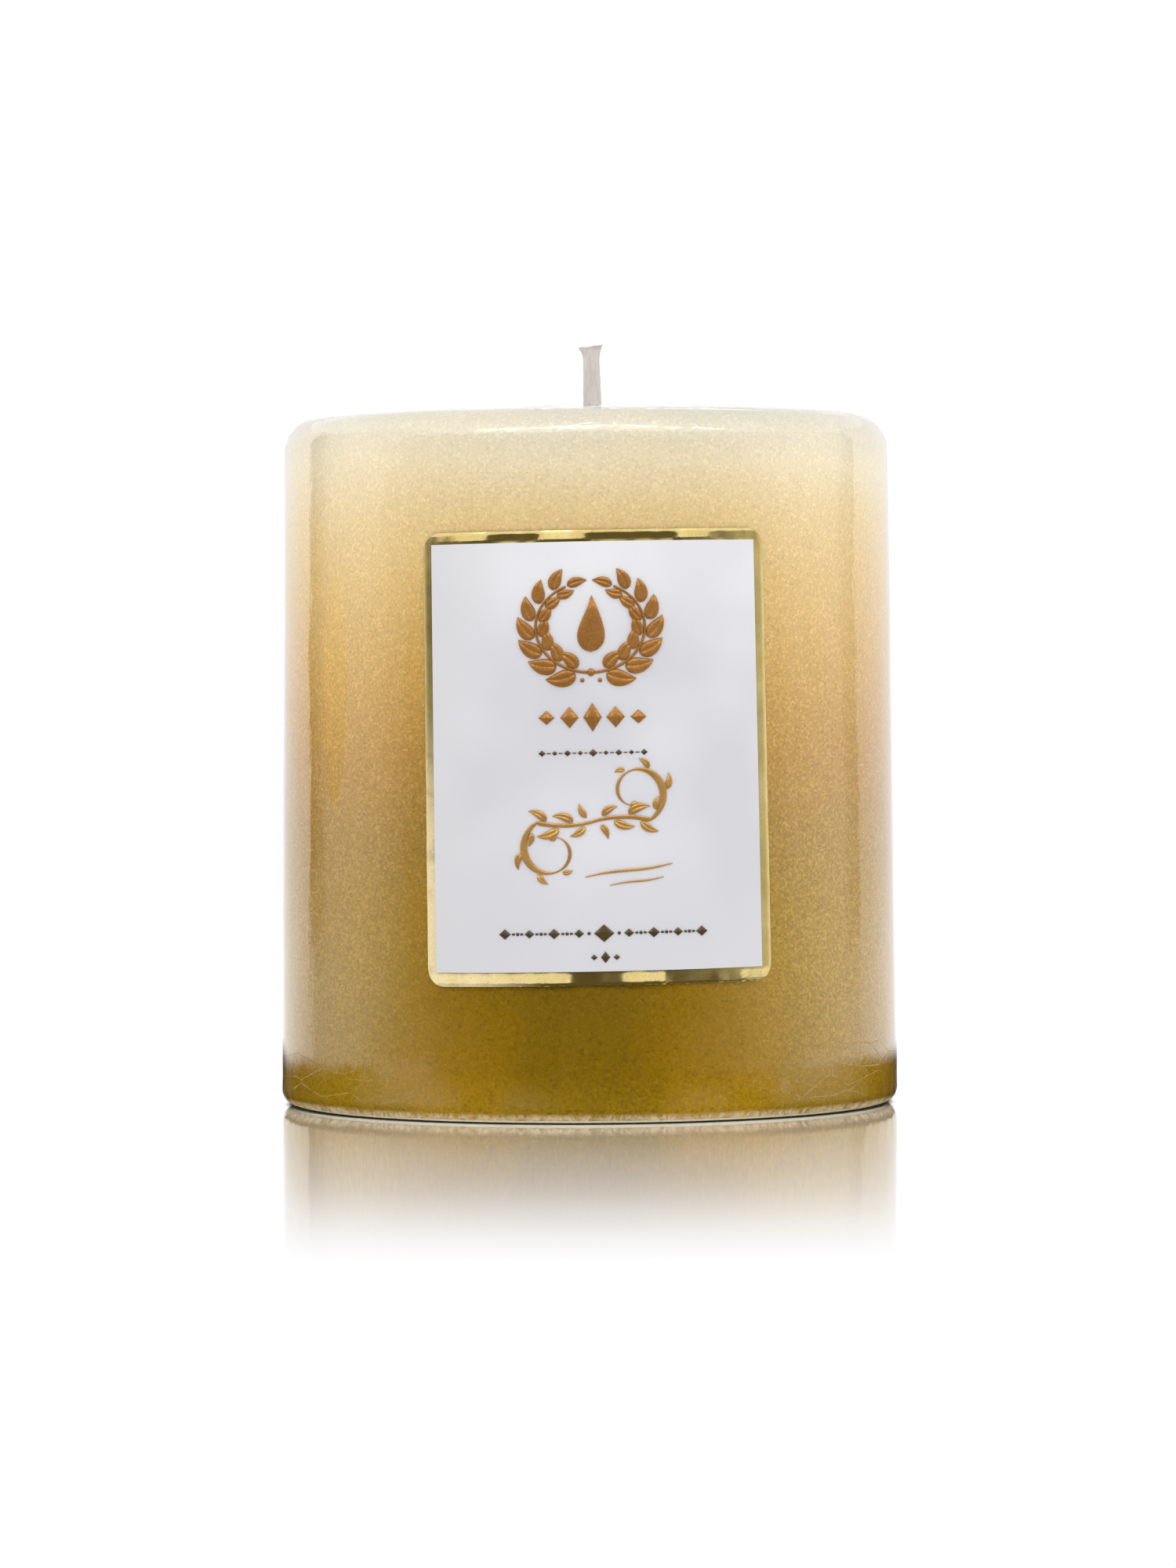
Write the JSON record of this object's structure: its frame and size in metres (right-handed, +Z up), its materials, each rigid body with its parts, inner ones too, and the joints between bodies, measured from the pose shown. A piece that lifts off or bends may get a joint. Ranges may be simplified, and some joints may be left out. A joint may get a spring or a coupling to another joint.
{
  "type": "pillar candle",
  "caption": "Round wax pillar candle with a gold ombre coat, a waxed braided wick, clear shrink film and a curved foil-edged front label, for a wedding unity set.",
  "frame": {"origin": "on the candle's axis, in the plane that it stands on", "axes": "+Z up along the candle's axis towards the wick; -Y towards the front label; +X to the right as the label is read"},
  "size_m": [0.07, 0.0703, 0.0864],
  "materials": {
    "wax": "ivory paraffin wax, slightly translucent",
    "gold_coat": "metallic lacquer, ivory at the top fading to deep gold at the base, fine glitter grain",
    "cotton": "flat cotton braid soaked in wax",
    "steel": "tin-plated stamped steel",
    "film": "clear glossy shrink film",
    "paper": "smooth white label paper",
    "gold_foil": "mirror gold foil",
    "bronze_foil": "satin bronze-gold foil, embossed"
  },
  "bodies": {
    "root": {"wax_core": "wax", "gold_coat": "gold_coat", "wick": "cotton", "wick_tab": "steel", "shrink_film": "film", "base_label": "paper", "label_foil_stock": "gold_foil", "label_panel": "paper", "wreath_foil": "bronze_foil", "flame_foil": "bronze_foil", "title_band_foil": "bronze_foil", "caption_rule_foil": "bronze_foil", "flourish_foil": "gold_foil", "swash_foil": "gold_foil", "footer_band_foil": "bronze_foil", "footer_diamond_foil": "bronze_foil"}
  },
  "joints": []
}
